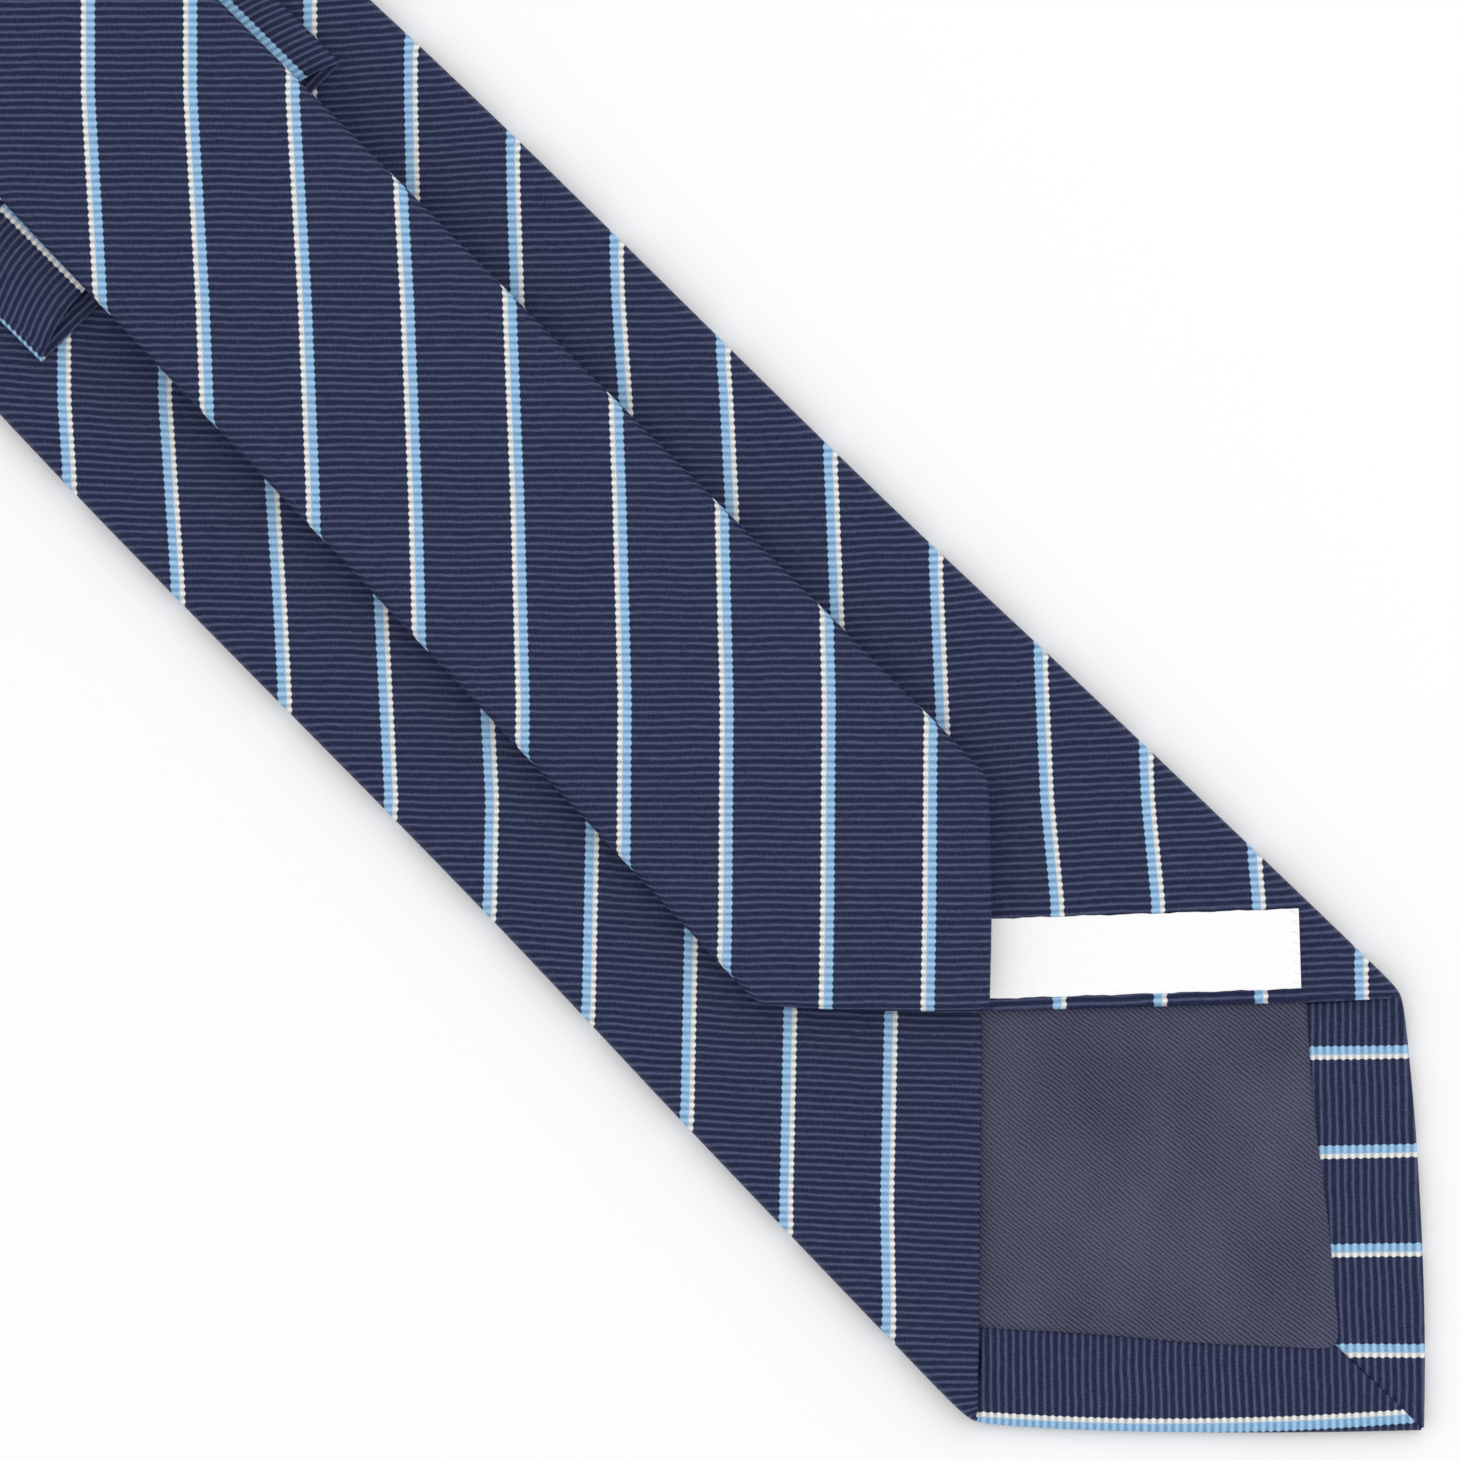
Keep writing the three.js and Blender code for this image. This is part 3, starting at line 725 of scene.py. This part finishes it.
def reflect(s, h, slope, ps, py):
    """Where a point on a folded-over layer lies on the flat cloth: its mirror in the fold line."""
    norm = np.hypot(1, slope)
    ns, ny = (-slope / norm)[:, None], (1 / norm)[:, None]
    away = (s[:, None] - ps) * ns + (h[:, None] - py) * ny
    far = 2 * away + ROLL_EXTRA
    return ps + far * ns, py + far * ny


def oriented(grid, uv, hand):
    """Patches on the left are mirrored, so their columns run the other way."""
    return (grid, uv) if hand > 0 else (grid[:, ::-1], uv[:, ::-1])


def lining(end, name, seed):
    """Tipping over the hems and under the flaps, its edges turned under."""
    hem_tip = 0.86 * end["hem"] * math.hypot(end["tip"], end["width"] / 2) / (end["width"] / 2)
    s = np.concatenate([
        np.array([0.0, 0.3, 0.8, 1.5, 2.4, 3.6, 5.0]) + hem_tip,
        np.arange(hem_tip + 7.0, end["tip"] + 24, 1.6),
        np.arange(end["tip"] + 25, end["tipping"], 3.0), [end["tipping"]]])
    point = (s - hem_tip) * 0.84 * (end["width"] / 2) / end["tip"] / 0.957
    point = np.sqrt(point ** 2 + 2.6 * point) + 0.2 * np.sin(s / 4.1 + seed) * smooth(point / 8.0)
    side = half_at(end, np.maximum(s, end["tip"])) - 2.2
    corner = 1.0
    half = 0.5 * (point + side - np.sqrt((point - side) ** 2 + corner * corner))
    half = np.maximum(half, 0.05)
    fs, y = spread(s, half, 45)
    edge = np.minimum(half[:, None] - np.abs(y), (fs - hem_tip) * 0.7)
    on_hem = 1 - smooth((edge - 4.6) / 3.0)
    on_hem = on_hem * (1 - smooth((fs - end["tip"] - end["hem"] * 1.1) / 10.0))
    z = 2.16 + 0.42 * on_hem
    z = z + 0.12 * np.sin(fs / 9.0 + 1.1 * np.sin(y / 7.0 + seed)) * np.sin(y / 8.5 + seed)
    z = z + 0.05 * np.sin(fs / 3.6 - y / 4.7 + seed)
    z = np.clip(z, 2.0 + 0.54 * on_hem, 2.64)
    uv = pair((fs + y) * DIAGONAL, (fs - y) * DIAGONAL)
    return cloth_mesh(name, [(place(end, fs, y, z), uv)], THIN_CLOTH, SATIN, False)


def interlining(end, name, stop, seed):
    """Wool slab that fills the tube, cut to the point inside the hems."""
    start = 6.5 if end["sign"] > 0 else 4.5
    s = np.concatenate([[start, start + 0.8, start + 2.0],
                        np.arange(start + 4.0, end["tip"] + 6, 2.0),
                        np.arange(end["tip"] + 8, stop, 5.0), [stop]])
    point = (s - start) * (end["width"] / 2) / end["tip"] + 0.3
    side = half_at(end, np.maximum(s, end["tip"])) - 2.1
    half = np.minimum(point, side)
    fs, y = spread(s, half, 17)
    z = WOOL_LEVEL + 0.05 * np.sin(fs / 11.0 + seed) * np.sin(y / 9.0)
    return cloth_mesh(name, [(place(end, fs, y, z), pair(fs, y))], WOOL_CLOTH, WOOL)


def slip_stitch(end, name, stop):
    """One long thread that crosses the seam under the flaps."""
    step = 4.0
    path = []
    x = end["tipping"] + 4.0
    side = 1
    while x < stop - 1:
        for f in (0.0, 0.35, 0.7):
            y = side * 1.9 * math.cos(math.pi * f)
            z = THREAD_LEVEL + 0.06 * math.sin(f * 9)
            path.append(place(end, x + step * f, y, z) / MM)
        x += step
        side = -side
    return tube(name, [path], 0.14, NAVY_THREAD, 5)


def bar_tack(end, name, start):
    """Close whip stitches over the seam, on two long stitches."""
    paths = []
    for off in (-0.25, 0.25):
        paths.append([place(end, start + t, off, 3.98) / MM for t in np.linspace(0, 8, 14)])
    for i in range(19):
        s0 = start + 0.3 + 7.4 * i / 18
        arc = []
        for a in np.linspace(0, math.pi, 7):
            lean = 0.16 * (a / math.pi - 0.5)
            y, z = 0.62 * math.cos(a), 3.9 + 0.38 * math.sin(a)
            arc.append(place(end, s0 + lean, y, z) / MM)
        paths.append(arc)
    return tube(name, paths, 0.15, NAVY_THREAD, 6)


# ---- neck ----

def neck_section():
    """Section of the flattened tube, from one turned-in edge round to the other: each column's
    y, its level from the face, and its distance from the middle on the flat cloth."""
    angles = np.linspace(0, math.pi, 10)
    inner = NECK_HALF - CLOTH / 2 - ROLL_RADIUS
    y = list(np.linspace(0, inner, 7))
    z = [FACE_LEVEL] * 7
    flat = list(y)
    arc = round_fold(angles, (FLAP_LEVEL - FACE_LEVEL) / 2)
    for a, d in zip(angles[1:], arc[1:]):
        y.append(inner + ROLL_RADIUS * math.sin(a))
        z.append(FACE_LEVEL + (FLAP_LEVEL - FACE_LEVEL) / 2 * (1 - math.cos(a)))
        flat.append(inner + d)
    for f in np.linspace(0, 1, 8)[1:]:
        y.append(inner + (SEAM_HALF - inner) * f)
        z.append(FLAP_LEVEL)
        flat.append(inner + arc[-1] + (inner - SEAM_HALF) * f)
    for f in np.linspace(0, 1, 5)[1:]:
        y.append(SEAM_HALF - SEAM_ROUND * math.sin(math.pi * f))
        z.append(FLAP_LEVEL - SEAM_ROUND * (1 - math.cos(math.pi * f)))
        flat.append(flat[-1] + 0.2)
    for f in np.linspace(0, 1, 4)[1:]:
        y.append(SEAM_HALF + 6.0 * f)
        z.append(TURN_IN_LEVEL)
        flat.append(flat[-1] + 2.0)
    right = np.stack([y, z, flat], -1)
    left = right[1:][::-1] * np.array([-1, 1, -1])
    return np.concatenate([left, right])


def neck_patch(length, to_world, half_of=None, slant_of=None, seed=0.0):
    """Rows along the neck at the given lengths of cloth; to_world(length, y, level)."""
    section = neck_section()
    scale = np.ones(len(length)) if half_of is None else half_of / NECK_HALF
    blend = np.clip(np.abs(section[:, 0]) / 7.0, 0, 1)[None, :]
    y = section[None, :, 0] * (1 + (scale[:, None] - 1) * blend)
    z = np.repeat(section[None, :, 1], len(length), 0)
    flat = section[None, :, 2] * scale[:, None]
    slant = np.zeros(len(length)) if slant_of is None else slant_of
    rows = length[:, None] + slant[:, None] * y
    back = smooth((z - 3.2) / 0.3) * smooth((np.abs(y) - 1.0) / 3.0)
    z = z + back * 0.8 * relief(rows, y, seed)
    points = to_world(rows, y, z)
    return points, pair((rows + flat) / math.sqrt(2) - 4.0, (rows - flat) / math.sqrt(2))


FOLD_RADIUS = FOLD_HEIGHT / 2
FOLD_X = HINGE_X + FOLD_RADIUS * math.tan(FOLD_STEP / 2)
BLADE_LENGTH = WIDE_TIP_X - FOLD_X
ARC_LENGTH = math.pi * FOLD_RADIUS
FOLD_WOOL_LEVEL, FOLD_WOOL_CLOTH, FOLD_WOOL_HALF = 1.5, 1.25, 13.4


def fold_world(rows, y, z):
    """Length of cloth past the blade's straight part, wrapped round the fold."""
    past = np.clip(rows - BLADE_LENGTH, 0, ARC_LENGTH)
    beyond = rows - BLADE_LENGTH - past
    angle = past / FOLD_RADIUS
    reach = FOLD_RADIUS - z
    x = FOLD_X - reach * np.sin(angle) + np.where(beyond > 0, beyond, 0.0)
    height = FOLD_RADIUS - reach * np.cos(angle)
    return np.stack([x, y + 0 * x, height], -1) * MM


# ---- build ----

blade_cloth = end_cloth(BLADE, "blade_cloth", 0.3)
tail_cloth = end_cloth(TAIL, "tail_cloth", 1.7)
blade_lining = lining(BLADE, "blade_lining", 0.8)
tail_lining = lining(TAIL, "tail_lining", 2.1)
blade_wool = interlining(BLADE, "blade_wool", 768.0, 0.2)
tail_wool = interlining(TAIL, "tail_wool", 682.4, 1.2)
blade_slip = slip_stitch(BLADE, "blade_slip_stitch", 762.0)
tail_slip = slip_stitch(TAIL, "tail_slip_stitch", 676.0)
blade_tack = bar_tack(BLADE, "blade_tack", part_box("blade_bar_tack")[1][0] / -MM + WIDE_TIP_X)
tail_tack = bar_tack(TAIL, "tail_tack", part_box("tail_bar_tack")[1][0] / -MM + NARROW_TIP_X)


def to_join(rows, from_join):
    """1 at the bias join, 0 far from it."""
    return 1 - smooth((rows - from_join) / JOIN_EASE)


blade_rows = np.concatenate([
    np.arange(BLADE["join"] + 0.25, BLADE_LENGTH - 1.0, 3.0), [BLADE_LENGTH]])
neck_blade = cloth_mesh("neck_cloth_blade_side", [neck_patch(
    blade_rows, lambda r, y, z: np.stack([WIDE_TIP_X - r, y, z + 0 * r], -1) * MM,
    width_at(BLADE, blade_rows), to_join(blade_rows, BLADE["join"]), 0.9)], CLOTH, SILK)


def fold_piece(label, rows):
    """The cloth and wool of one stretch of the fold."""
    cloth = cloth_mesh(f"neck_fold_cloth_{label}", [neck_patch(rows, fold_world)], CLOTH, SILK)
    y = np.linspace(-FOLD_WOOL_HALF, FOLD_WOOL_HALF, 15)[None, :] + 0 * rows[:, None]
    along = rows[:, None] + 0 * y
    patch = (fold_world(along, y, FOLD_WOOL_LEVEL + 0 * y), pair(along, y))
    return cloth, cloth_mesh(f"neck_fold_wool_{label}", [patch], FOLD_WOOL_CLOTH, WOOL)


fold_cloths, fold_wools = [], []
for k in range(FOLD_PIECES):
    first = BLADE_LENGTH + ARC_LENGTH * k / FOLD_PIECES
    last = BLADE_LENGTH + ARC_LENGTH * (k + 1) / FOLD_PIECES
    cloth_part, wool_part = fold_piece(k + 1, np.linspace(first, last, 6))
    fold_cloths.append(cloth_part)
    fold_wools.append(wool_part)
after = BLADE_LENGTH + ARC_LENGTH
fold_end, fold_wool_end = fold_piece(
    "end", np.linspace(after, after + TAIL_START_X - FOLD_X - 0.05, 3))

tail_length = after + TAIL_START_X - FOLD_X
tail_rows = np.concatenate([
    [TAIL["run"]], np.arange(680.0, TAIL["join"] + 1.0, -3.0), [TAIL["join"] + 0.25]])


def tail_world(rows, y, z):
    """The tail's side: rows is the length of cloth from the blade's tip through the fold."""
    return place(TAIL, TAIL["run"] - (rows - tail_length), y, z)


lengths = tail_length + TAIL["run"] - tail_rows
neck_tail = cloth_mesh("neck_cloth_tail_side", [neck_patch(
    lengths, tail_world, width_at(TAIL, tail_rows), -to_join(tail_rows, TAIL["join"]), 2.2)],
    CLOTH, SILK)


def seam_threads(name, end):
    """Seam stitches on the bias join, inside the tube."""
    paths = []
    half = width_at(end, end["join"]) - 3.0
    for first in np.arange(-half, half, 2.4):
        paths.append([place(end, end["join"] + y, y, THREAD_LEVEL) / MM
                      for y in first + np.array([0, 0.5, 1.1, 1.6])])
    return tube(name, paths, 0.13, NAVY_THREAD, 5)


blade_join = seam_threads("blade_join_stitches", BLADE)
tail_join = seam_threads("tail_join_stitches", TAIL)

# ---- keeper loop ----

KEEPER_FAR, KEEPER_NEAR = 128.46, 144.86
KEEPER_SHIFT = 0.8          # towards the tip
KEEPER_HALF = 29.5
KEEPER_LOW, KEEPER_HIGH = 4.37, 6.42
KEEPER_TURN = 1.05          # radius of the turn at each end of the loop
KEEPER_PULL = 2.7           # how far the middle of the upper layer is drawn back


def keeper():
    """Strip of the same silk, folded flat into a loop that lies across the blade."""
    low, high, half, r = KEEPER_LOW, KEEPER_HIGH, KEEPER_HALF - CLOTH / 2, KEEPER_TURN
    loop, flat = [], []
    straight = half - r
    level, lift = (low + high) / 2, (high - low) / 2
    for f in np.linspace(-1, 1, 31):
        loop.append((straight * f, high))
        flat.append(straight * f)
    for a in np.linspace(0, math.pi, 9)[1:-1]:
        loop.append((straight + r * math.sin(a), level + lift * math.cos(a)))
        flat.append(straight + r * a)
    for f in np.linspace(1, -1, 31):
        loop.append((straight * f, low))
        flat.append(straight + r * math.pi + straight * (1 - f))
    for a in np.linspace(0, math.pi, 9)[1:]:
        loop.append((-straight - r * math.sin(a), level - lift * math.cos(a)))
        flat.append(3 * straight + r * math.pi + r * a)
    loop, flat = np.array(loop), np.array(flat)
    x = np.linspace(KEEPER_NEAR, KEEPER_FAR, 13)
    top_share = smooth((loop[:, 1] - low) / (high - low))
    inset = np.clip((half - np.abs(loop[:, 0])) / 11.0, 0, 1)
    back = KEEPER_PULL * top_share * (1 - (1 - inset) ** 2)
    gx = x[:, None] + KEEPER_SHIFT - back[None, :]
    gy = np.repeat(loop[None, :, 0], len(x), 0)
    edge = np.abs(np.linspace(-1, 1, len(x)))[:, None] ** 6
    bulge = 0.10 * np.sin(np.linspace(0, math.pi, len(x)))[:, None] * np.ones_like(gy)
    outward = np.where(top_share > 0.5, 1, -1)[None, :]
    gz = np.repeat(loop[None, :, 1], len(x), 0) + outward * (bulge - 0.10 * edge)
    gz = gz + 0.05 * np.sin(gy / 4.3 + gx / 6.0)
    # the stripes lie where they show beside the tail; the cloth under it takes up the rest
    across = flat + 18.4 - 0.7 * smooth((-flat - 4.0) / 10.0)
    across = across + 4.6 * smooth((-loop[:, 0] - 2.0) / 12.0) * (flat > straight + 0.5)
    uv = pair(across[None, :], x[:, None])
    grid = np.stack([gx, gy, gz], -1) * MM
    return cloth_mesh("keeper_loop", [(grid, uv)], CLOTH, SILK)


keeper_loop = keeper()

# ---- label ----

EDGE_DIR = np.array([BLADE["apex"] - BLADE["tip"], -BLADE["width"] / 2])
EDGE_DIR /= np.linalg.norm(EDGE_DIR)
AWAY = np.array([-EDGE_DIR[1], EDGE_DIR[0]])
LABEL_LENGTH, LABEL_WIDTH, LABEL_START, LABEL_INSET = 44.5, 11.1, 14.4, 1.1
LABEL_LEVEL, STITCH_LEVEL = 4.16, 4.22


def label_at(a, b, z):
    """a along the flap's free edge from the label's outer end, b across, away from the edge."""
    s = BLADE["tip"] + EDGE_DIR[0] * (LABEL_START + a) + AWAY[0] * (LABEL_INSET + b)
    y = BLADE["width"] / 2 + EDGE_DIR[1] * (LABEL_START + a) + AWAY[1] * (LABEL_INSET + b)
    return place(BLADE, s, y, z)


def label():
    """Blank woven tape, its edges pressed down and a little uneven."""
    a = np.concatenate([[0.0, 0.15, 0.5, 1.0, 1.6], np.linspace(2.4, LABEL_LENGTH - 2.4, 34),
                        LABEL_LENGTH - np.array([1.6, 1.0, 0.5, 0.15, 0.0])])
    b = np.concatenate([[0.0, 0.12, 0.4], np.linspace(1.0, LABEL_WIDTH - 1.0, 12),
                        LABEL_WIDTH - np.array([0.4, 0.12, 0.0])])
    ga, gb = np.meshgrid(a, b, indexing="ij")
    edge = np.minimum(np.minimum(ga, LABEL_LENGTH - ga), np.minimum(gb, LABEL_WIDTH - gb))
    z = LABEL_LEVEL - 0.14 * (1 - smooth(edge / 0.5)) + 0.04 * np.sin(ga / 4.1 + gb / 3.0)
    wander = 0.06 * np.sin(ga * 0.9) + 0.04 * np.sin(ga * 2.3 + 1)
    wb = gb + wander * (np.abs(gb - LABEL_WIDTH / 2) / (LABEL_WIDTH / 2))
    uv = pair(ga, gb)
    return cloth_mesh("label_tape", [(label_at(ga, wb, z)[:, ::-1], uv[:, ::-1])], THIN_CLOTH,
                      LABEL)


def label_stitches(name, a):
    """Short whip stitches over one end of the label."""
    paths = []
    inward = 1.0 if a == 0 else -1.0
    for b in np.linspace(0.7, LABEL_WIDTH - 0.7, 8):
        arc = []
        for f in np.linspace(0, 1, 7):
            off = (0.2 + 0.9 * f) * inward
            z = STITCH_LEVEL + 0.08 * math.sin(math.pi * f)
            arc.append(label_at(a + off, b + 0.5 * f, z) / MM)
        paths.append(arc)
    return tube(name, paths, 0.11, WHITE_THREAD, 5)


label_tape = label()
stitch_outer = label_stitches("label_stitches_outer", 0)
stitch_inner = label_stitches("label_stitches_inner", LABEL_LENGTH)

# ---- riding and hiding: pieces follow their bodies, the CAD parts they stand for are hidden ----

for obj, body, nodes, slot in (
    (blade_cloth, "blade", ["blade_shell"], "striped_silk"),
    (blade_lining, "blade", ["blade_tipping"], "satin_lining"),
    (blade_wool, "blade", ["interlining_blade_side"], "wool_interlining"),
    (blade_slip, "blade", ["slip_stitch_blade_side"], "sewing_thread"),
    (blade_tack, "blade", ["blade_bar_tack"], "sewing_thread"),
    (blade_join, "blade", ["blade_join_thread"], "sewing_thread"),
    (neck_blade, "blade", ["neck_shell_blade_side"], "striped_silk"),
    (label_tape, "blade", ["label"], "woven_label"),
    (stitch_outer, "blade", ["label_stitch_outer"], "label_thread"),
    (stitch_inner, "blade", ["label_stitch_inner"], "label_thread"),
    (fold_end, "fold_6", ["neck_fold_6"], "striped_silk"),
    (fold_wool_end, "fold_6", [], "wool_interlining"),
    (neck_tail, "tail", ["neck_shell_tail_side"], "striped_silk"),
    (tail_cloth, "tail", ["tail_shell"], "striped_silk"),
    (tail_lining, "tail", ["tail_tipping"], "satin_lining"),
    (tail_wool, "tail", ["interlining_tail_side"], "wool_interlining"),
    (tail_slip, "tail", ["slip_stitch_tail_side"], "sewing_thread"),
    (tail_tack, "tail", ["tail_bar_tack"], "sewing_thread"),
    (tail_join, "tail", ["tail_join_thread"], "sewing_thread"),
):
    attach(obj, body)
    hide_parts(*nodes)


for k in range(FOLD_PIECES):
    for obj, slot in ((fold_cloths[k], "striped_silk"), (fold_wools[k], "wool_interlining")):
        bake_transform(obj)
    if k:
        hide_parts(f"neck_fold_{k}")

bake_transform(keeper_loop)
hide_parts("keeper_loop_base", "keeper_loop_top",
            "keeper_turn_left", "keeper_turn_right")


# ---- floor, light and camera ----

bpy.ops.mesh.primitive_plane_add(size=40.0, location=(0, 0, -0.0004))
floor = bpy.context.active_object
floor.name = "floor"
paper = bpy.data.materials.new("floor_paper")
paper.use_nodes = True
for socket, value in (("Base Color", (0.93, 0.93, 0.935, 1)), ("Roughness", 0.85),
                      ("Specular IOR Level", 0.1)):
    paper.node_tree.nodes["Principled BSDF"].inputs[socket].default_value = value
floor.data.materials.append(paper)


def area_light(name, location, target, size, watts):
    """A round soft light that faces the target."""
    data = bpy.data.lights.new(name, "AREA")
    data.shape = "DISK"
    data.size = size
    data.energy = watts
    obj = bpy.data.objects.new(name, data)
    bpy.context.scene.collection.objects.link(obj)
    obj.location = location
    obj.rotation_euler = (Vector(target) - Vector(location)).to_track_quat("-Z", "Y").to_euler()
    return obj


middle = (0.25, 0.0, 0.0)
key = area_light("key", (0.35, 0.75, 1.0), middle, 1.2, 2.6)
fill = area_light("fill", (-0.35, -0.75, 1.1), middle, 1.4, 1.2)
world = bpy.context.scene.world or bpy.data.worlds.new("world")
bpy.context.scene.world = world
world.use_nodes = True
sky = world.node_tree.nodes["Background"].inputs
sky["Color"].default_value = (1, 1, 1, 1)
sky["Strength"].default_value = 0.925

CAMERA_HEIGHT, SEEN_WIDTH = 1.1, 0.2044
camera_data = bpy.data.cameras.new("camera")
camera_data.sensor_width = 36
camera_data.lens = camera_data.sensor_width * CAMERA_HEIGHT / SEEN_WIDTH
camera_data.clip_end = 20
camera = bpy.data.objects.new("camera", camera_data)
bpy.context.scene.collection.objects.link(camera)
camera.location = (VIEW_X * MM, VIEW_Y * MM, CAMERA_HEIGHT)
camera.rotation_euler = (0, 0, math.radians(45))
bpy.context.scene.camera = camera
bpy.context.scene.view_settings.view_transform = "Standard"
